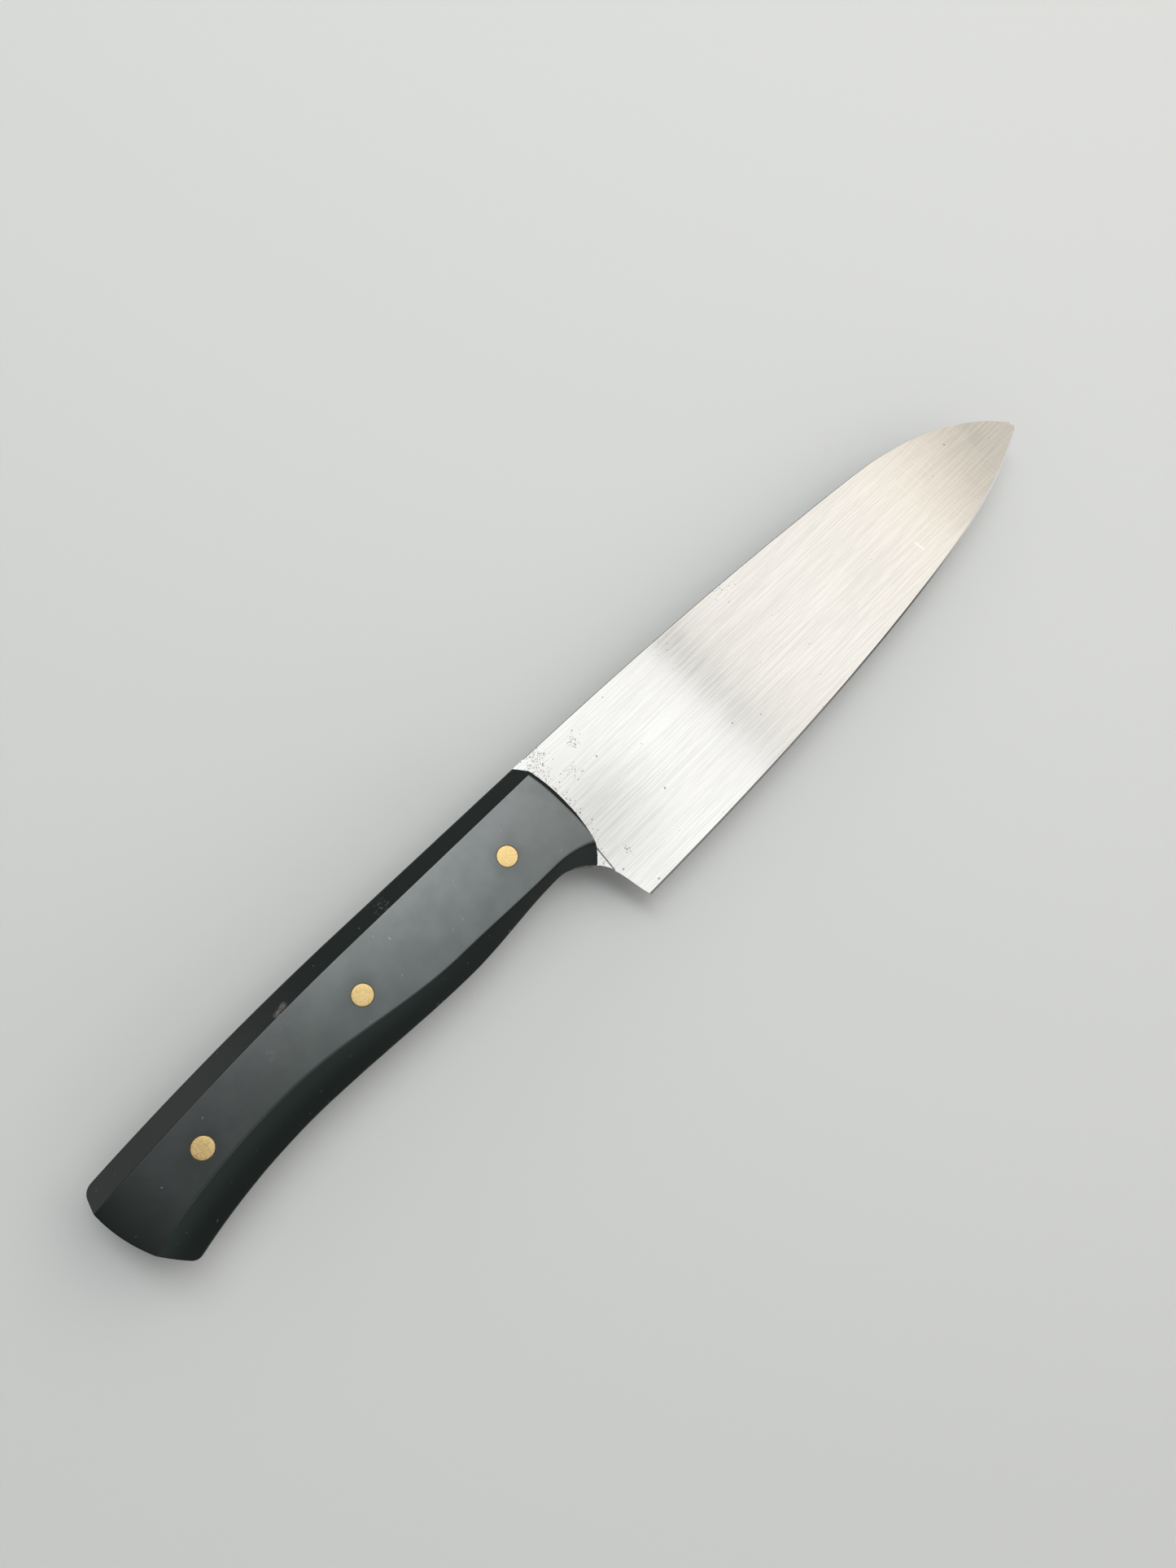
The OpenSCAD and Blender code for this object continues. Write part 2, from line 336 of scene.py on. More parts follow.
def to_data(name, mesh):
    """Turns a bmesh into a mesh, and frees it."""
    data = bpy.data.meshes.new(name)
    mesh.to_mesh(data)
    mesh.free()
    return data


def as_object(name, mesh):
    """Puts a closed bmesh into the scene, with its faces outwards."""
    bmesh.ops.recalc_face_normals(mesh, faces=mesh.faces)
    return link(name, to_data(name, mesh))


def finish_piece(made, material, sharp, stands_for=None):
    """Smooths a piece between its sharp edges, gives it its finish and lets it ride on the knife."""
    made.data.shade_smooth()
    made.data.set_sharp_from_angle(angle=math.radians(sharp))
    made.data.materials.clear()
    made.data.materials.append(material)
    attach(made, "root")
    if stands_for:
        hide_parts(stands_for)


def combine(made, other, operation):
    """Adds another object to a piece, or cuts it out, when freeze is called."""
    joined = made.modifiers.new(operation.lower(), "BOOLEAN")
    joined.object = other
    joined.operation = operation
    joined.solver = "EXACT"


def freeze(made):
    """Replaces a piece's mesh by what its modifiers make of it.

    Faces of no area and points within an edge are taken out.
    """
    graph = bpy.context.evaluated_depsgraph_get()
    data = bpy.data.meshes.new_from_object(made.evaluated_get(graph))
    made.modifiers.clear()
    mesh = bmesh.new()
    mesh.from_mesh(data)
    bmesh.ops.dissolve_degenerate(mesh, edges=mesh.edges, dist=WELD * MM)
    spare = [vert for vert in mesh.verts if len(vert.link_edges) == 2]
    bmesh.ops.dissolve_verts(mesh, verts=spare)
    mesh.to_mesh(data)
    mesh.free()
    made.data = data


def add_loft(mesh, rings, apex=None):
    """Skins closed rings of points, and closes the ends with a face or with a point."""
    rows = [[mesh.verts.new(placed(p)) for p in ring] for ring in rings]
    count = len(rows[0])
    for near, far in zip(rows, rows[1:]):
        for j in range(count):
            k = (j + 1) % count
            mesh.faces.new((near[j], near[k], far[k], far[j]))
    mesh.faces.new(rows[0])
    if apex is None:
        mesh.faces.new(rows[-1])
        return
    point = mesh.verts.new(placed(apex))
    for j in range(count):
        mesh.faces.new((rows[-1][j], rows[-1][(j + 1) % count], point))


def add_lathe(mesh, x, profile, steps=72):
    """Turns a profile of radius and height pairs about the upright axis of a pin.

    A profile that starts off the axis is closed into a ring.
    """
    closed = profile[0][0] > 0
    centre = Vector((x, 0, 0))
    rows = []
    for i in range(steps):
        turn = math.tau * i / steps
        side = Vector((math.cos(turn), math.sin(turn), 0))
        rows.append([mesh.verts.new(placed(centre + side * r + Vector((0, 0, z)))) for r, z in profile])
    pairs = len(profile) if closed else len(profile) - 1
    for i in range(steps):
        near = rows[i]
        far = rows[(i + 1) % steps]
        for j in range(pairs):
            k = (j + 1) % len(profile)
            mesh.faces.new((near[j], near[k], far[k], far[j]))
    bmesh.ops.remove_doubles(mesh, verts=mesh.verts, dist=WELD * MM)


def add_uv(data):
    """UV with U along the knife, which the grain of the steel follows."""
    layer = data.uv_layers.new(name=GRAIN_UV)
    tile = UV_TILE * MM
    for loop in data.loops:
        co = data.vertices[loop.vertex_index].co
        layer.data[loop.index].uv = (co.x / tile, (co.y + co.z) / tile)


# Blade
def spine_half(x):
    """Half the thickness of the spine, which tapers evenly and thins once more at the tip."""
    thinned = mix(1, TIP_THIN, ease(clamp((x - BLADE_L + TIP_THIN_BACK) / TIP_THIN_BACK)))
    return thinned * mix(SPINE_T, TIP_T, clamp((x - HEEL_OUT) / (BLADE_L - HEEL_OUT))) / 2


def blade_ring(s, e, cut_h, foot_half, face_steps=10):
    """Section from the spine at s to the edge at e.

    The face ends cut_h above the edge, where half the thickness is foot_half.
    """
    length = (e - s).length
    down = (e - s) / length
    half = min(spine_half(s.x), foot_half + APEX_RISE * length)
    soft = min(SPINE_EASE, length / 5, half / 2)
    turn = SPINE_EASE_TURN * soft
    foot = e - cut_h * down
    side = [(s, 0.0), (s, half - soft), (s + turn * down, half - turn)]
    face_top = s + soft * down
    side += [(mix(face_top, foot, u), mix(half, foot_half, u)) for u in shares(face_steps)]
    side.append((e, 0.0))
    right = [(p.x, p.y, z) for p, z in side]
    left = [(x, y, -z) for x, y, z in reversed(right[1:-1])]
    return right + left


def edge_ring(s, e):
    """Section that ends in the cutting bevel, which shrinks with the section at the tip."""
    length = (s - e).length
    return blade_ring(s, e, min(CUT_H, length / 2), min(GRIND_T / 2, APEX_RISE * length))


def choil_ring(s, e):
    """Section that ends in the blunt edge of the choil."""
    depth = (SPINE_UP - e.y) / (SPINE_UP + HEEL_DOWN)
    return blade_ring(s, e, CHOIL_CUT, mix(SPINE_T, GRIND_T, depth) / 2)


def make_ground(choil_steps, blade_steps=60, tip_steps=10):
    """The ground blade, from inside the tang to the tip."""
    root_head = PLUNGE_HEAD + Vector((-ROOT_IN, -ROOT_FALL))
    root_foot = PLUNGE_FOOT + Vector((-ROOT_IN, ROOT_RISE))
    rings = [choil_ring(root_head, root_foot)]
    for u in shares(choil_steps)[:-1]:
        rings.append(choil_ring(mix(PLUNGE_HEAD, SPINE_START, u), choil(mix(PLUNGE_SHARE, 1, u))))
    for u in shares(blade_steps):
        rings.append(edge_ring(spine_back(u), edge_back(u)))
    for u in shares(blade_steps)[1:]:
        rings.append(edge_ring(spine_fore(SPINE_LEFT * u), edge_fore(EDGE_LEFT * u)))
    for u in shares(tip_steps)[1:-1]:
        rings.append(edge_ring(tip_curve(u / 2), tip_curve(1 - u / 2)))
    mesh = bmesh.new()
    add_loft(mesh, rings, (*tip_curve(0.5), 0.0))
    return as_object("satin_blade", mesh)


def make_tang(choil_steps):
    """The tang, as a flat plate from the butt to the plunge line."""
    outline = [choil(PLUNGE_SHARE * (1 - u)) for u in shares(choil_steps)]
    outline += handle_sides()[1:] + [PLUNGE_HEAD]
    mesh = bmesh.new()
    add_loft(mesh, [[(p.x, p.y, z) for p in outline] for z in (-SPINE_T / 2, SPINE_T / 2)])
    return as_object("tang", mesh)


def make_blade(material, cutter, choil_steps=16):
    """The ground blade and its tang, as one piece of steel with its pin holes."""
    made = make_ground(choil_steps)
    tang = make_tang(choil_steps)
    combine(made, tang, "UNION")
    combine(made, cutter, "DIFFERENCE")
    freeze(made)
    bpy.data.objects.remove(tang)
    finish_piece(made, material, SHARP_STEEL, "blade")
    add_uv(made.data)


# Scales
def top_bevel(back):
    """Width of the upper bevel."""
    return mix(*TOP_BEVELS, clamp(back / HANDLE_L))


def scale_height(x, y):
    """Height of a scale's outer surface: the lowest of its flat, its bevels and its front chamfer."""
    back = -x
    rise = SCALE_TOP - SCALE_BASE - LAND_H
    land = SCALE_BASE + LAND_H
    top = land + (top_y(back) - y) * rise / top_bevel(back)
    low = land + (y - low_y(back)) * rise / along(back, LOW_BEVELS)
    fade_y = LOW_DEPTHS[0] - LOW_BEVELS[0]
    chamfer = FRONT_CHAMFER * clamp((y + fade_y) / fade_y)
    front = SCALE_TOP - chamfer + front_x(y) - x
    soft = mix(GROOVE_SOFT, CREASE_SOFT, ease(clamp((back - CORNER_BACK) / GROOVE_SOFT_REACH)))
    flat = SCALE_TOP - FLAT_CROWN * (y / SPINE_UP) ** 2
    height = smooth_min(smooth_min(flat, top, CREASE_SOFT), low, soft)
    height = smooth_min(height, front, CREASE_SOFT)
    inset = BUTT_EASE - (x - butt_x(y))
    if inset > 0:
        height -= BUTT_EASE - math.sqrt(max(0.0, BUTT_EASE ** 2 - inset ** 2))
    return max(height, land - LAND_H / 2)


def grid_x(u, y):
    """Place along the knife of a row of the scale's grid, from the front at u = 0 to the butt at u = 1."""
    return mix(front_x(y), butt_x(y), u)


def grid_share(p):
    """The row of the scale's grid that a point lies on."""
    return (front_x(p.y) - p.x) / (front_x(p.y) - butt_x(p.y))


def settle(u, height, rounds=8):
    """Where a row of the grid meets a line that is given as a height at each distance back."""
    y = 0.0
    for _ in range(rounds):
        y = height(-grid_x(u, y))
    return y


def limit(u, height, corner, halvings=30):
    """Where a row of the grid ends: on the outline, or on the rounded corner past its end."""
    if u <= grid_share(corner(0)):
        return settle(u, height)
    near = 0.0
    far = 1.0
    for _ in range(halvings):
        middle = (near + far) / 2
        if grid_share(corner(middle)) < u:
            near = middle
        else:
            far = middle
    return corner(near).y


def low_crease(back):
    return low_y(back) + along(back, LOW_BEVELS)


def top_crease(back):
    return top_y(back) - top_bevel(back)


# Points across the scale's grid: close steps from a crease, and where the even ones of the bevels and of
# the flat start
CREASE_STEPS = [0.1, 0.22, 0.4, 0.7]
BEVEL_GAP = 0.9
FLAT_GAP = 1.0
# Rows of the grid: close ones from the front and the butt, and where the even ones between start and end
FRONT_STEPS = [0, 0.12, 0.3, 0.5, 0.7, 0.85, 0.97, 1.1, 1.22, 1.35, 1.55, 1.85, 2.3, 3.0]
FRONT_GAP = 4.0
BUTT_STEPS = [2.4, 1.9, 1.5, 1.2, 0.9, 0.7, 0.55, 0.42, 0.3, 0.2, 0.12, 0.06, 0.02, 0]
BUTT_GAP = 3.0


def across(u, low_steps=7, flat_steps=14, top_steps=5):
    """Heights at which a row of the grid has its points, close together at the creases."""
    near = [-step for step in reversed(CREASE_STEPS)] + [0.0] + CREASE_STEPS
    low = settle(u, low_crease)
    top = settle(u, top_crease)
    bottom = limit(u, low_y, low_corner)
    lines = [mix(bottom, low - BEVEL_GAP, v) for v in shares(low_steps)]
    lines += [low + step for step in near]
    lines += [mix(low + FLAT_GAP, top - FLAT_GAP, v) for v in shares(flat_steps)]
    lines += [top + step for step in near]
    ridge = limit(u, top_y, top_corner)
    return lines + [mix(top + BEVEL_GAP, ridge, v) for v in shares(top_steps)]


def scale_grid(steps=90):
    """Points of a scale's outer surface, in rows that follow its curved front and butt."""
    backs = FRONT_STEPS + [mix(FRONT_GAP, HANDLE_L - BUTT_GAP, u) for u in shares(steps)]
    backs += [HANDLE_L - step for step in BUTT_STEPS]
    rows = []
    for back in backs:
        u = back / HANDLE_L
        rows.append([(grid_x(u, y), y, scale_height(grid_x(u, y), y)) for y in across(u)])
    return rows


def make_scale(name, stands_for, side, material, cutter):
    """A scale on the right side, or mirrored on the left one."""
    mesh = bmesh.new()
    rows = [[mesh.verts.new(placed((x, y, side * z))) for x, y, z in row] for row in scale_grid()]
    for near, far in zip(rows, rows[1:]):
        for j in range(len(near) - 1):
            mesh.faces.new((near[j], near[j + 1], far[j + 1], far[j]))
    lows = [row[0] for row in rows]
    tops = [row[-1] for row in rows]
    rim = rows[0][:-1] + tops[:-1] + rows[-1][:0:-1] + lows[:0:-1]
    base = (side * SCALE_BASE + ORIGIN.z) * MM
    feet = [mesh.verts.new((v.co.x, v.co.y, base)) for v in rim]
    for j in range(len(rim)):
        k = (j + 1) % len(rim)
        mesh.faces.new((rim[j], rim[k], feet[k], feet[j]))
    mesh.faces.new(feet)
    made = as_object(name, mesh)
    eased = made.modifiers.new("eased edges", "BEVEL")
    eased.width = EDGE_EASE * MM
    eased.segments = EDGE_EASE_STEPS
    eased.limit_method = "ANGLE"
    eased.angle_limit = math.radians(EDGE_EASE_ANGLE)
    combine(made, cutter, "DIFFERENCE")
    freeze(made)
    finish_piece(made, material, SHARP_LAMINATE, stands_for)


# Pins and the glue round them
def hole_profile(reach):
    """Outside of the glue round a pin: straight in the handle, and wider at both mouths."""
    narrow = PIN_R + PIN_CLEAR
    wide = narrow + HOLE_EASE
    upper = [(wide, reach), (wide, SCALE_TOP - HOLE_MOUTH), (narrow, SCALE_TOP - HOLE_EASE_DEPTH)]
    return upper + [(r, -z) for r, z in reversed(upper)]


def make_cutter():
    """The three pin holes, to be cut out of the scales and the tang."""
    mesh = bmesh.new()
    reach = SCALE_TOP + CUTTER_SPARE
    for x in PIN_X:
        add_lathe(mesh, x, [(0, reach), *hole_profile(reach), (0, -reach)])
    return as_object("hole cutter", mesh)


def make_pin(name, x, material):
    """A pin that is sanded flush, with a slightly worn edge."""
    edge = [(PIN_R - inward * PIN_EDGE, SCALE_TOP - down * PIN_EDGE) for inward, down in PIN_EDGE_TURNS]
    edge += [(PIN_R / 2, SCALE_TOP - PIN_CROWN * PIN_EDGE), (0, SCALE_TOP)]
    mesh = bmesh.new()
    add_lathe(mesh, x, [(r, -z) for r, z in reversed(edge)] + edge)
    finish_piece(as_object("brass_" + name, mesh), material, SHARP_TURNED, name)


def make_glue_ring(name, x, material):
    """Glue that fills the hole round a pin, sunk a little at both mouths."""
    reach = SCALE_TOP - GLUE_SINK
    mesh = bmesh.new()
    add_lathe(mesh, x, [(PIN_R, -reach), (PIN_R, reach), *hole_profile(reach)])
    finish_piece(as_object(name + "_glue_ring", mesh), material, SHARP_TURNED)


# Materials
# Specks: scale of the noise that makes them uneven, and the shares of their least reach, of their full core
# and of their least strength
SPECK_WOBBLE = 1.7
SPECK_SMALL = 0.4
SPECK_CORE = 0.4
SPECK_FAINT = 0.4


class Paint:
    """One material and short calls to build its nodes."""

    def __init__(self, name, **settings):
        self.material = bpy.data.materials.new(name)
        self.material.use_nodes = True
        self.tree = self.material.node_tree
        self.shader = self.tree.nodes["Principled BSDF"]
        for socket, value in settings.items():
            self.shader.inputs[socket.replace("_", " ")].default_value = value
        given = self.node("ShaderNodeTexCoord")
        self.place = given.outputs["Object"]
        self.surface = given.outputs["Normal"]

    def node(self, kind, inputs=None, **settings):
        made = self.tree.nodes.new(kind)
        for key, value in settings.items():
            setattr(made, key, value)
        for key, value in (inputs or {}).items():
            self.feed(made.inputs[key], value)
        return made

    def feed(self, socket, value):
        if isinstance(value, bpy.types.NodeSocket):
            self.tree.links.new(value, socket)
        else:
            socket.default_value = value

    def set(self, socket, value):
        self.feed(self.shader.inputs[socket], value)

    def math(self, operation, a, b=0.0):
        return self.node("ShaderNodeMath", {0: a, 1: b}, operation=operation).outputs[0]

    def times(self, value, *factors):
        for factor in factors:
            value = self.math("MULTIPLY", value, factor)
        return value

    def vector(self, operation, a, b, output="Vector"):
        return self.node("ShaderNodeVectorMath", {0: a, 1: b}, operation=operation).outputs[output]

    def split(self, vector):
        return self.node("ShaderNodeSeparateXYZ", {0: vector}).outputs

    def level(self, value, low, high, to_low=0.0, to_high=1.0):
        """A value that goes smoothly from to_low at low to to_high at high."""
        inputs = {"Value": value, "From Min": low, "From Max": high, "To Min": to_low, "To Max": to_high}
        return self.node("ShaderNodeMapRange", inputs, interpolation_type="SMOOTHSTEP").outputs["Result"]

    def blend(self, share, a, b):
        """Colour a, turning to b as the share goes from 0 to 1."""
        made = self.node("ShaderNodeMix", data_type="RGBA")
        self.feed(made.inputs[0], share)
        self.feed(made.inputs[6], a)
        self.feed(made.inputs[7], b)
        return made.outputs[2]

    def stretched(self, cells, turn=0.0):
        """Object coordinates, turned about Z by some degrees and scaled to cells per metre each way."""
        place = self.place
        if turn:
            inputs = {"Vector": place, "Angle": math.radians(turn)}
            place = self.node("ShaderNodeVectorRotate", inputs, rotation_type="Z_AXIS").outputs[0]
        return self.vector("MULTIPLY", place, cells)

    def noise(self, cells, detail=2.0, roughness=0.5, turn=0.0):
        place = self.stretched(cells, turn)
        inputs = {"Vector": place, "Scale": 1.0, "Detail": detail, "Roughness": roughness}
        return self.node("ShaderNodeTexNoise", inputs).outputs["Fac"]

    def offset(self, x=0.0, y=0.0):
        """Offset from a spot in the middle plane of the tang."""
        return self.vector("SUBTRACT", self.place, placed((x, y, 0)))

    def plan(self, x, y):
        """Offset from a spot in the knife's plan, whatever the height."""
        return self.vector("MULTIPLY", self.offset(x, y), (1, 1, 0))

    def along_x(self, start, full):
        """0 at one place along the knife, going smoothly to 1 at another."""
        return self.level(self.split(self.offset())["X"], start * MM, full * MM)

    def near(self, x, y, reach):
        """1 at a spot of the knife's plan, falling to 0 at a distance from it."""
        apart = self.vector("DISTANCE", self.plan(x, y), (0, 0, 0), "Value")
        return self.level(apart, 0.0, reach * MM, 1.0, 0.0)

    def line(self, start, end, reach):
        """1 on a straight line between two spots of the plan, falling to 0 at a distance from it."""
        offset = self.plan(*start)
        way = Vector((end[0] - start[0], end[1] - start[1], 0)) * MM
        share = self.vector("DOT_PRODUCT", offset, way / way.length_squared, "Value")
        share = self.node("ShaderNodeClamp", {0: share}).outputs[0]
        foot = self.node("ShaderNodeVectorMath", {0: way, "Scale": share}, operation="SCALE").outputs[0]
        apart = self.vector("DISTANCE", offset, foot, "Value")
        return self.level(apart, 0.0, reach * MM, 1.0, 0.0)

    def specks(self, cells, size, dimensions="3D"):
        """Uneven specks, one in each cell: a mask of them, and each cell's random number."""
        place = self.stretched((cells, cells, cells))
        wobble = self.node("ShaderNodeTexNoise", {"Vector": place, "Scale": SPECK_WOBBLE}).outputs["Color"]
        inputs = {"Vector": self.vector("ADD", wobble, place), "Scale": 1.0}
        cell = self.node("ShaderNodeTexVoronoi", inputs, voronoi_dimensions=dimensions)
        chances = self.node("ShaderNodeSeparateColor", {0: cell.outputs["Color"]}).outputs
        reach = self.level(chances[1], 0.0, 1.0, SPECK_SMALL * size, size)
        mask = self.level(cell.outputs["Distance"], self.times(reach, SPECK_CORE), reach, 1.0, 0.0)
        return self.times(mask, self.level(chances[2], 0.0, 1.0, SPECK_FAINT, 1.0)), chances[0]

    def bump(self, height, depth, strength, after=None):
        """Relief of a depth in millimetres, on top of another relief if one is given."""
        made = self.node("ShaderNodeBump", {"Height": height, "Distance": depth * MM, "Strength": strength})
        if after:
            self.feed(made.inputs["Normal"], after)
        return made.outputs[0]


def colour(r, g, b):
    return (r, g, b, 1.0)


# Steel: cells of its grain per metre, along the blade, across it and through it, and the finish they give
LINE_CELLS = (50, 2700, 2700)
HAIR_CELLS = (170, 4400, 4400)
LINE_SHARE = 0.6
SWEEP_CELLS = (14, 160, 160)
SWEEP_SHARE = 0.25
RUB_CELLS = (70, 2400, 0)
RUB_TURN = 76
RUB_SHARE = 0.3
STEEL_ROUGH = (0.14, 0.19)

# Colours of the steel in its grain lines and between them: in general, in the patch of painted darker
# reflection and at the tip
SATIN = (colour(0.505, 0.503, 0.495), colour(0.587, 0.585, 0.577))
REFLECTION_SHADED = (colour(0.35, 0.35, 0.343), colour(0.421, 0.421, 0.414))
WARM = (colour(0.503, 0.488, 0.457), colour(0.587, 0.57, 0.534))
# Broad sweeps, rubbed marks and the scratch
SWEPT = colour(0.5, 0.495, 0.485)
RUBBED = colour(0.66, 0.65, 0.62)
BARED = colour(0.74, 0.73, 0.7)
# Cutting bevel, painted with shade from the heel on and with a highlight towards the tip
BEVEL = (colour(0.15, 0.15, 0.147), colour(0.8, 0.8, 0.79))
# Stain where the pits crowd, the pits and the painted shade along the plunge line
STAIN = colour(0.4, 0.375, 0.325)
STAIN_SHARE = 0.12
PIT = colour(0.14, 0.117, 0.082)
PIT_SHARE = 0.72
PLUNGE_SHADE = colour(0.025, 0.022, 0.015)
# How much rougher the pits and the painted shade along the plunge line are
PIT_AND_SHADE_ROUGH = 0.4
# Relief of the grain and of the pits: depth and strength
GRAIN_RELIEF = (0.006, 0.25)
PIT_RELIEF = (-0.05, 0.6)

# Where the warm, rubbed finish of the tip starts and is full
TIP_FINISH = (105.0, 140.0)

# Place and reach of a patch of painted darker reflection on the steel, at the front of the handle, and how
# far it darkens
REFLECTION_SHADE_PATCH = (4.0, -9.0, 26.0)
REFLECTION_SHADE_SHARE = 0.85

# Ends and reach of a bright scratch
SCRATCH = ((118.0, -14.7), (118.7, -17.5))
SCRATCH_REACH = 0.28

# Painted shade along the lower end of the plunge line, just ahead of it
PLUNGE_SHADE_ASIDE = Vector((0.1, 0.0))
PLUNGE_SHADE_SHARE = 0.25
PLUNGE_SHADE_START = PLUNGE_FOOT + PLUNGE_SHADE_ASIDE
PLUNGE_SHADE_END = mix(PLUNGE_FOOT, PLUNGE_HEAD, PLUNGE_SHADE_SHARE) + PLUNGE_SHADE_ASIDE
PLUNGE_SHADE_REACH = 0.45

# Pits: cells per metre, and the reach of the largest in cells
PIT_CELLS = 2700
PIT_SIZE = 0.5
# Pits along the front of the handle: where they start, the distances over which they thin out, and the
# shares of cells that are pitted before and after that
FRONT_PIT_START = -1.5
FRONT_PIT_FADE = (2.0, 5.0)
FRONT_PIT_SHARES = (0.3, 0.0005)
# Clusters of pits: place, reach, and the share of cells that are pitted there
PIT_CLUSTERS = [
    (3.9, 12.0, 5.0, 0.6),
    (2.4, 8.0, 4.0, 0.4),
    (13.5, 8.6, 3.5, 0.35),
    (8.0, 3.7, 4.0, 0.3),
    (5.1, -18.2, 2.5, 0.2),
    (68.0, 10.5, 5.0, 0.2),
    (45.1, 11.0, 3.0, 0.2),
]
SINGLE_PITS = [
    (22.1, -14.3),
    (5.1, -18.2),
    (1.2, -20.9),
    (15.1, 2.2),
    (5.9, -28.3),
    (46.0, -14.6),
    (144.9, -1.6),
]
SINGLE_PIT_REACH = 0.38


def steel():
    """Satin steel: grain along the blade, rubbed marks across its tip, and dark pits by the handle."""
    paint = Paint("satin steel", Metallic=1.0, Anisotropic=1.0, Anisotropic_Rotation=0.25)
    tangent = paint.node("ShaderNodeTangent", direction_type="UV_MAP", uv_map=GRAIN_UV)
    paint.set("Tangent", tangent.outputs[0])
    lines = paint.noise(LINE_CELLS, detail=1.0, roughness=0.45)
    hair = paint.noise(HAIR_CELLS, detail=1.0)
    grain = paint.math("ADD", paint.times(lines, LINE_SHARE), paint.times(hair, 1 - LINE_SHARE))
    facing = paint.math("ABSOLUTE", paint.split(paint.surface)["Z"])
    faced = paint.level(facing, 0.6, 0.9)
    pits, crowd = pitting(paint)
    pits = paint.times(pits, faced)
    # Painted shade in the corner of the plunge line's step
    plunge_shade = paint.times(paint.line(PLUNGE_SHADE_START, PLUNGE_SHADE_END, PLUNGE_SHADE_REACH), faced)
    base = satin(paint, grain, facing)
    base = paint.blend(paint.level(crowd, 0.1, 0.9, 0.0, STAIN_SHARE), base, STAIN)
    base = paint.blend(paint.times(pits, PIT_SHARE), base, PIT)
    paint.set("Base Color", paint.blend(plunge_shade, base, PLUNGE_SHADE))
    rough = paint.times(paint.math("ADD", pits, plunge_shade), PIT_AND_SHADE_ROUGH)
    paint.set("Roughness", paint.math("ADD", paint.level(grain, 0.3, 0.7, *STEEL_ROUGH), rough))
    relief = paint.bump(grain, *GRAIN_RELIEF)
    paint.set("Normal", paint.bump(pits, *PIT_RELIEF, relief))
    return paint.material


def satin(paint, grain, facing):
    """Colour of the clean steel from its grain and how squarely it faces either side, with painted shade
    and highlights.
    """
    scored = paint.level(grain, 0.36, 0.64)
    base = paint.blend(scored, *SATIN)
    # Painted darker reflection: a patch of the steel by the handle is shaded darker
    reflection_shade = paint.times(paint.near(*REFLECTION_SHADE_PATCH), REFLECTION_SHADE_SHARE)
    base = paint.blend(reflection_shade, base, paint.blend(scored, *REFLECTION_SHADED))
    sweep = paint.level(paint.noise(SWEEP_CELLS), 0.4, 0.75, 0.0, SWEEP_SHARE)
    base = paint.blend(sweep, base, SWEPT)
    fore = paint.along_x(*TIP_FINISH)
    base = paint.blend(fore, base, paint.blend(scored, *WARM))
    rubs = paint.level(paint.noise(RUB_CELLS, turn=RUB_TURN), 0.54, 0.7)
    base = paint.blend(paint.times(rubs, fore, RUB_SHARE), base, RUBBED)
    base = paint.blend(paint.line(*SCRATCH, SCRATCH_REACH), base, BARED)
    # Painted shade on the cutting bevel near the heel, turning to a painted highlight towards the tip
    painted_bevel = paint.times(paint.level(facing, 0.8, 0.9), paint.level(facing, 0.95, 0.985, 1.0, 0.0))
    return paint.blend(painted_bevel, base, paint.blend(fore, *BEVEL))


def pitting(paint):
    """Small dark pits: in clusters, along the front of the handle, and a few alone. Also how they crowd."""
    specks, chance = paint.specks(PIT_CELLS, PIT_SIZE, "2D")
    place = paint.split(paint.offset())
    bow = paint.times(place["Y"], place["Y"], 1 / (2 * FRONT_R * MM))
    ahead = paint.math("ADD", bow, place["X"])
    crowd = paint.level(ahead, FRONT_PIT_FADE[0] * MM, FRONT_PIT_FADE[1] * MM, *FRONT_PIT_SHARES)
    crowd = paint.times(crowd, paint.math("GREATER_THAN", ahead, FRONT_PIT_START * MM))
    for x, y, reach, share in PIT_CLUSTERS:
        crowd = paint.math("ADD", paint.times(paint.near(x, y, reach), share), crowd)
    pits = paint.times(specks, paint.math("LESS_THAN", chance, crowd))
    for x, y in SINGLE_PITS:
        pits = paint.math("MAXIMUM", pits, paint.near(x, y, SINGLE_PIT_REACH))
    return pits, crowd


# Laminate: cells of its shades, of its scuffs and of its fine relief per metre
CLOUD_CELLS = (35, 60, 60)
MOTTLE_CELLS = (180, 180, 180)
SCUFF_CELLS = (900, 900, 900)
FINE_CELLS = (2600, 2600, 2600)
FINE_RELIEF = (0.006, 0.4)
LAMINATE_ROUGH = (0.6, 0.7)
CHARCOAL = (colour(0.0065, 0.0102, 0.0096), colour(0.0095, 0.0135, 0.0125))

# Painted highlight along the lower edges of the bevels: distances at which it is full and gone, its share
# and its colour
EDGE_HIGHLIGHT = (0.05, 0.26)
EDGE_HIGHLIGHT_SHARE = 0.7
EDGE_LIT = colour(0.11, 0.112, 0.105)

# Painted light on the bevels: their side, where it starts and is full along the handle, and its colour
PAINTED_BEVEL_LIGHT = [
    (1, -60.0, -100.0, colour(0.036, 0.0365, 0.037)),
    (-1, -15.0, -4.0, colour(0.024, 0.032, 0.031)),
]

# Painted sheen on the lower bevels, lighter towards the crease: where it starts and is full along the
# handle, its lowest height and its colour
LOW_BEVEL_SHEEN = (-30.0, -60.0)
LOW_BEVEL_SHEEN_FOOT = 4.5
PAINTED_SHEEN = colour(0.019, 0.0285, 0.0255)

# Scuffs on the right side of the handle: place and reach
SCUFFS = [(-45.2, 11.2, 3.2), (-50.8, -13.9, 2.0), (-34.2, -2.7, 1.2), (-82.0, 4.0, 2.0)]
SCUFFED = colour(0.16, 0.155, 0.14)
SCUFF_SHARE = 0.6

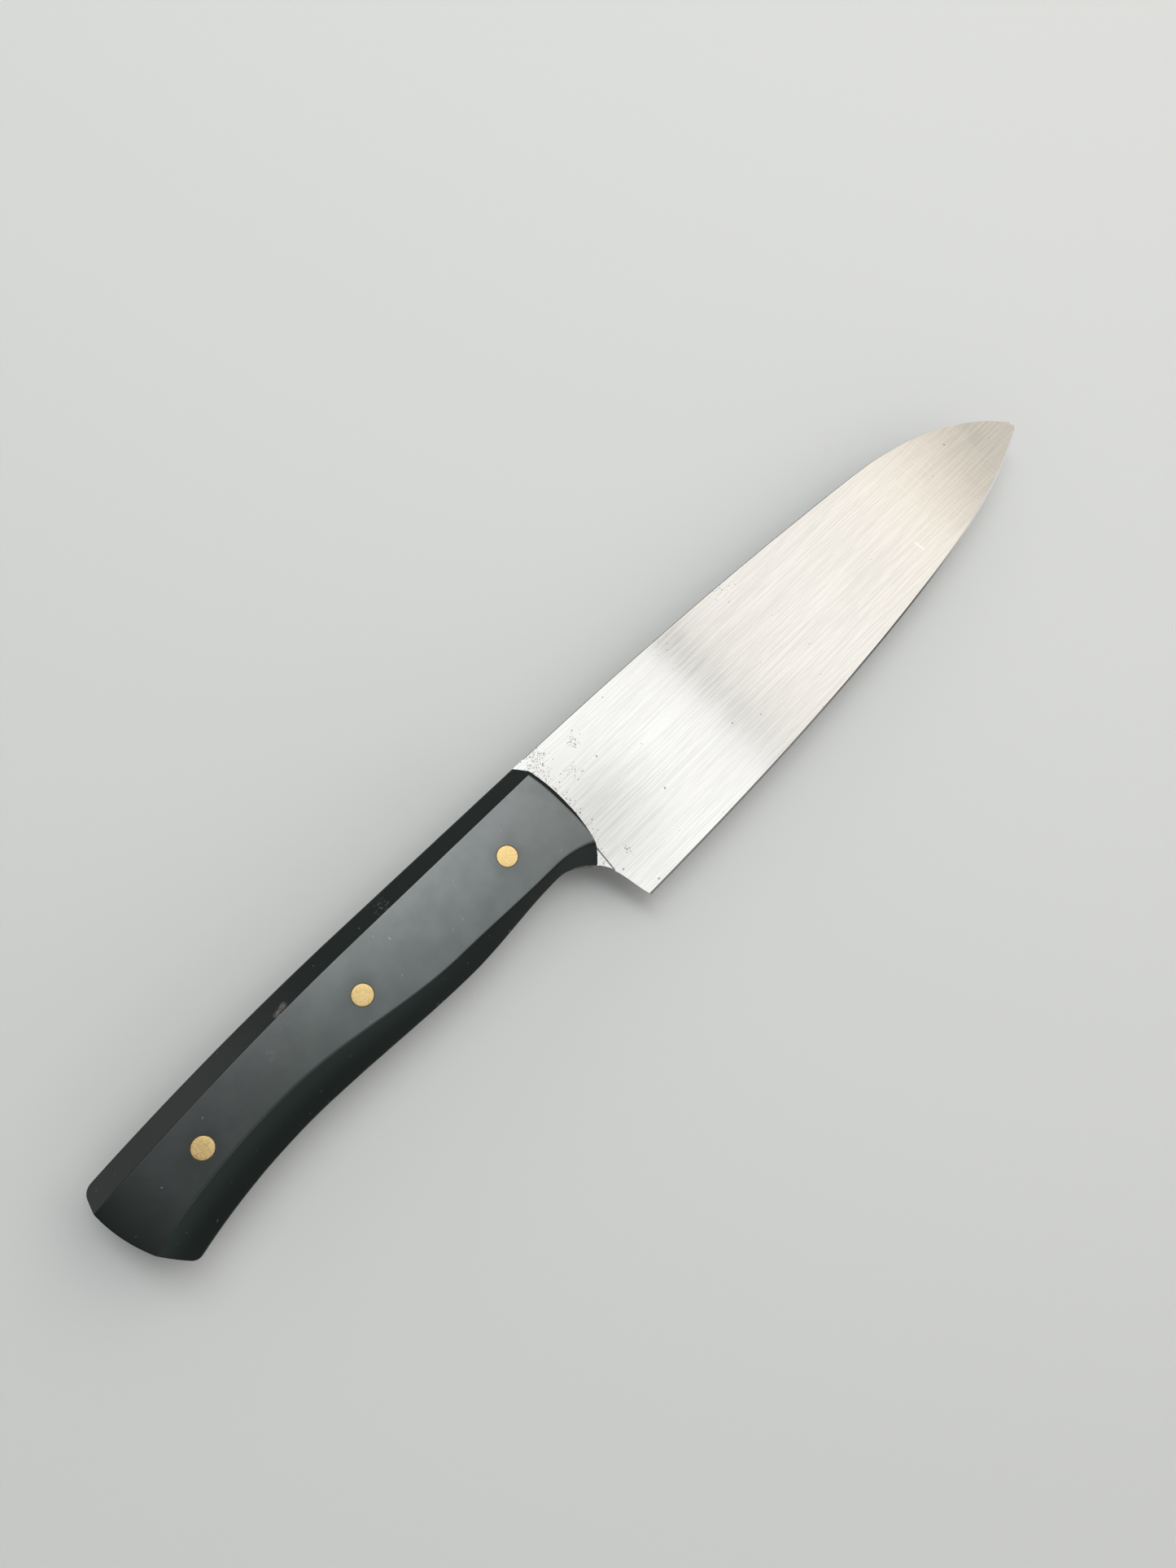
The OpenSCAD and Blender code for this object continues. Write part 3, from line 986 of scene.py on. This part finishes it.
# Ends and reach of a scrape on its upper bevel
SCRAPE = ((-75.9, 9.2), (-73.5, 9.7))
SCRAPE_REACH = 0.9
SCRAPED = colour(0.19, 0.18, 0.16)
SCRAPE_SHARE = 0.8

# Dust: cells per metre, the reach of the largest in cells, the share of cells that have some, and how
# squarely the handle has to face either side there
DUST_CELLS = 420
DUST_SIZE = 0.13
DUST_CHANCE = 0.5
DUST_UPWARD = 0.3
DUST = colour(0.32, 0.32, 0.3)
DUST_SHARE = 0.6

# Sheen of the flats: its least and most, where it fades in from the butt, and what is lost round the pins
SHEEN = (0.86, 1.0)
SHEEN_FADE = (-128.0, -110.0)
PIN_DULL_REACH = 6.0
PIN_DULL = 0.25


def laminate():
    """Matte charcoal laminate: dark bevels with painted light, flats rubbed to a hazy sheen, and scuffs and
    dust.
    """
    paint = Paint("black laminate", Specular_IOR_Level=0.12, Coat_Roughness=0.31, Coat_IOR=2.0)
    normal = paint.split(paint.surface)
    upward = paint.math("ABSOLUTE", normal["Z"])
    lift = paint.split(paint.offset())["Z"]
    mottle = paint.noise(MOTTLE_CELLS, detail=4.0, roughness=0.6)
    cloud = paint.noise(CLOUD_CELLS, detail=3.0)
    base = paint.blend(paint.level(cloud, 0.3, 0.7), *CHARCOAL)
    base = bevel_light(paint, base, normal["Y"], paint.math("ABSOLUTE", lift), mottle)
    marked = paint.times(paint.level(upward, 0.2, 0.4), paint.math("GREATER_THAN", lift, 0.0))
    base = scuffed(paint, base, marked)
    dust, chance = paint.specks(DUST_CELLS, DUST_SIZE)
    dust = paint.times(dust, paint.math("GREATER_THAN", upward, DUST_UPWARD))
    dust = paint.times(dust, paint.math("LESS_THAN", chance, DUST_CHANCE), DUST_SHARE)
    paint.set("Base Color", paint.blend(dust, base, DUST))
    paint.set("Roughness", paint.level(cloud, 0.25, 0.75, *LAMINATE_ROUGH))
    paint.set("Coat Weight", paint.times(paint.level(upward, 0.82, 0.98), flat_sheen(paint, mottle)))
    paint.set("Normal", paint.bump(paint.noise(FINE_CELLS), *FINE_RELIEF))
    return paint.material


def bevel_light(paint, base, aside, height, mottle):
    """Adds a painted highlight to the bevels' lower edges, painted light to the bevels, and a painted sheen
    to the lower bevels.
    """
    from_land = paint.math("ABSOLUTE", paint.math("SUBTRACT", height, (SCALE_BASE + LAND_H) * MM))
    # Painted highlight on the bevels' lower edges, mottled
    edge = paint.level(from_land, EDGE_HIGHLIGHT[0] * MM, EDGE_HIGHLIGHT[1] * MM, EDGE_HIGHLIGHT_SHARE, 0.0)
    base = paint.blend(paint.times(edge, paint.level(mottle, 0.3, 0.6)), base, EDGE_LIT)
    # Painted light: the upper bevel lighter towards the butt, the lower one at the front
    for side, start, full, shade in PAINTED_BEVEL_LIGHT:
        turned = paint.level(paint.times(aside, side), 0.5, 0.75)
        base = paint.blend(paint.times(turned, paint.along_x(start, full)), base, shade)
    # Painted sheen on the lower bevels, rising towards the crease
    lower = paint.level(aside, -0.6, -0.4, 1.0, 0.0)
    raised = paint.level(height, LOW_BEVEL_SHEEN_FOOT * MM, SCALE_TOP * MM)
    return paint.blend(paint.times(lower, paint.along_x(*LOW_BEVEL_SHEEN), raised), base, PAINTED_SHEEN)


def scuffed(paint, base, marked):
    """Adds the scuffs and the scrape, where the handle is marked at all."""
    mottle = paint.noise(SCUFF_CELLS, detail=3.0, roughness=0.7)
    scuffs = 0.0
    for x, y, reach in SCUFFS:
        scuffs = paint.math("ADD", paint.near(x, y, reach), scuffs)
    scuffs = paint.times(scuffs, paint.level(mottle, 0.52, 0.66), marked)
    base = paint.blend(paint.times(scuffs, SCUFF_SHARE), base, SCUFFED)
    scrape = paint.line(*SCRAPE, SCRAPE_REACH)
    scrape = paint.times(scrape, paint.level(mottle, 0.35, 0.55), marked)
    return paint.blend(paint.times(scrape, SCRAPE_SHARE), base, SCRAPED)


def flat_sheen(paint, mottle):
    """Sheen of the flats, which fades at the butt and is weaker round the pins."""
    sheen = paint.times(paint.level(mottle, 0.3, 0.7, *SHEEN), paint.along_x(*SHEEN_FADE))
    for x in PIN_X:
        sheen = paint.math("SUBTRACT", sheen, paint.times(paint.near(x, 0, PIN_DULL_REACH), PIN_DULL))
    return sheen


# Brass: cells of its speckle and of its dull clouds per metre
SPECKLE_CELLS = (2600, 2600, 2600)
DULL_CELLS = (700, 700, 700)
BRASS_RELIEF = (0.02, 0.4)
BRASS_ROUGH = (0.45, 0.59)
BRASS = (colour(0.62, 0.435, 0.18), colour(0.79, 0.59, 0.3))
BRASS_DULL = colour(0.5, 0.35, 0.155)
BRASS_DULL_SHARE = 0.4


def brass():
    """Matte sanded brass with fine speckle."""
    paint = Paint("sanded brass", Metallic=1.0)
    speckle = paint.noise(SPECKLE_CELLS, detail=3.0, roughness=0.7)
    cloud = paint.noise(DULL_CELLS)
    base = paint.blend(paint.level(speckle, 0.35, 0.65), *BRASS)
    base = paint.blend(paint.level(cloud, 0.55, 0.8, 0.0, BRASS_DULL_SHARE), base, BRASS_DULL)
    paint.set("Base Color", base)
    paint.set("Roughness", paint.level(speckle, 0.3, 0.7, *BRASS_ROUGH))
    paint.set("Normal", paint.bump(speckle, *BRASS_RELIEF))
    return paint.material


# Glue: cells of its clouds per metre
GLUE_CELLS = (900, 900, 900)
GLUE_RELIEF = (0.01, 0.4)
GLUE_ROUGH = (0.4, 0.6)
GLUE = (colour(0.05, 0.028, 0.012), colour(0.11, 0.06, 0.025))


def epoxy():
    """Dark brown cured glue."""
    paint = Paint("cured epoxy", Specular_IOR_Level=0.4)
    cloud = paint.noise(GLUE_CELLS)
    paint.set("Base Color", paint.blend(cloud, *GLUE))
    paint.set("Roughness", paint.level(cloud, 0.3, 0.7, *GLUE_ROUGH))
    paint.set("Normal", paint.bump(cloud, *GLUE_RELIEF))
    return paint.material


# Stage
FLOOR_HALF = 30000.0
FLOOR_SHADE = colour(0.68, 0.68, 0.67)

# Studio by the height of the direction: the far floor's shade at the horizon, pale above, dark overhead
STUDIO = [
    (0.0, colour(0.29, 0.29, 0.285)),
    (0.28, colour(0.95, 0.95, 0.95)),
    (0.9, colour(0.05, 0.05, 0.05)),
]

# Panels of light that face down: low and high corner in the frame's plan, radiance and tint
PANEL_HEIGHT = 900.0
PANELS = {
    "handle softbox": ((-54, 12), (200, 900), 5.3, (0.94, 0.99, 1.0)),
    "handle fill": ((-54, -260), (200, 12), 1.0, (0.67, 1.0, 0.94)),
    "near softbox": ((200, -600), (424, 650), 1.72, (1.0, 1.0, 0.99)),
    "gap fill": ((424, -650), (458, -55), 1.4, (1.0, 0.98, 0.95)),
    "dim gap fill": ((424, -55), (458, 550), 0.9, (1.0, 0.98, 0.95)),
    "far softbox edge": ((458, -650), (500, 550), 1.45, (1.0, 0.97, 0.92)),
    "far softbox": ((500, -650), (640, 550), 1.55, (1.0, 0.967, 0.91)),
    "warm softbox": ((640, -650), (790, 550), 1.52, (1.0, 0.95, 0.875)),
    "far fade": ((790, -650), (840, 550), 1.3, (1.0, 0.942, 0.855)),
    "end fade": ((840, -650), (890, 550), 0.92, (1.0, 0.935, 0.84)),
    "edge strip": ((200, -1300), (900, -700), 1.05, (1.0, 0.98, 0.95)),
    "end panel": ((890, -650), (1500, 550), 0.78, (1.0, 0.93, 0.83)),
}

# Camera: its lens, sensor and range, its place from the middle pin and over the right flat, and its axes
CAMERA_LENS = 28.08
CAMERA_SENSOR = 36.0
CAMERA_NEAR = 10.0
CAMERA_FAR = 100000.0
CAMERA_FOOT = Vector((-13.57, 7.33))
CAMERA_HEIGHT = 261.39
CAMERA_RIGHT = Vector((0.6893, -0.6858, 0.2340))
CAMERA_BACK = Vector((-0.2947, 0.0298, 0.9552))


def make_floor():
    paint = Paint("pale floor", Roughness=0.85, Specular_IOR_Level=0.2)
    paint.set("Base Color", FLOOR_SHADE)
    mesh = bmesh.new()
    signs = [(-1, -1), (1, -1), (1, 1), (-1, 1)]
    mesh.faces.new([mesh.verts.new(placed((x * FLOOR_HALF, y * FLOOR_HALF, FLOOR_Z))) for x, y in signs])
    floor = link("floor", to_data("floor", mesh))
    floor.data.materials.append(paint.material)


def make_world():
    """Grey studio, shaded from the horizon up."""
    world = bpy.data.worlds.new("studio")
    bpy.context.scene.world = world
    world.use_nodes = True
    tree = world.node_tree
    direction = tree.nodes.new("ShaderNodeTexCoord").outputs["Generated"]
    split = tree.nodes.new("ShaderNodeSeparateXYZ")
    tree.links.new(direction, split.inputs[0])
    ramp = tree.nodes.new("ShaderNodeValToRGB")
    stops = ramp.color_ramp.elements
    stops.remove(stops[1])
    stops[0].position, stops[0].color = STUDIO[0]
    for position, shade in STUDIO[1:]:
        stops.new(position).color = shade
    tree.links.new(split.outputs["Z"], ramp.inputs[0])
    tree.links.new(ramp.outputs[0], tree.nodes["Background"].inputs["Color"])


def make_lights():
    for name, (low, high, radiance, tint) in PANELS.items():
        data = bpy.data.lights.new(name, "AREA")
        data.shape = "RECTANGLE"
        data.size = (high[0] - low[0]) * MM
        data.size_y = (high[1] - low[1]) * MM
        data.color = tint
        data.energy = radiance * math.pi * data.size * data.size_y
        middle = Vector(((low[0] + high[0]) / 2, (low[1] + high[1]) / 2, PANEL_HEIGHT))
        link(name, data).location = middle * MM


def make_camera():
    data = bpy.data.cameras.new("camera")
    data.lens = CAMERA_LENS
    data.sensor_width = CAMERA_SENSOR
    data.clip_start = CAMERA_NEAR * MM
    data.clip_end = CAMERA_FAR * MM
    back = CAMERA_BACK.normalized()
    up = back.cross(CAMERA_RIGHT).normalized()
    right = up.cross(back)
    at = placed((PIN_X[1] + CAMERA_FOOT.x, CAMERA_FOOT.y, SCALE_TOP + CAMERA_HEIGHT))
    camera = link("camera", data)
    camera.matrix_world = Matrix.Translation(at) @ Matrix((right, up, back)).transposed().to_4x4()
    bpy.context.scene.camera = camera


def main():
    bpy.context.scene.view_settings.view_transform = "Standard"
    make_camera()
    make_world()
    make_lights()
    make_floor()
    cutter = make_cutter()
    make_blade(steel(), cutter)
    black = laminate()
    make_scale("laminate_right", "right_scale", 1, black, cutter)
    make_scale("laminate_left", "left_scale", -1, black, cutter)
    bpy.data.objects.remove(cutter)
    gold = brass()
    glue = epoxy()
    for name, x in zip(PINS, PIN_X):
        make_pin(name, x, gold)
        make_glue_ring(name, x, glue)
    for name in GLUE_FILMS:
        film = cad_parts[name].data.materials
        film.clear()
        film.append(glue)


main()
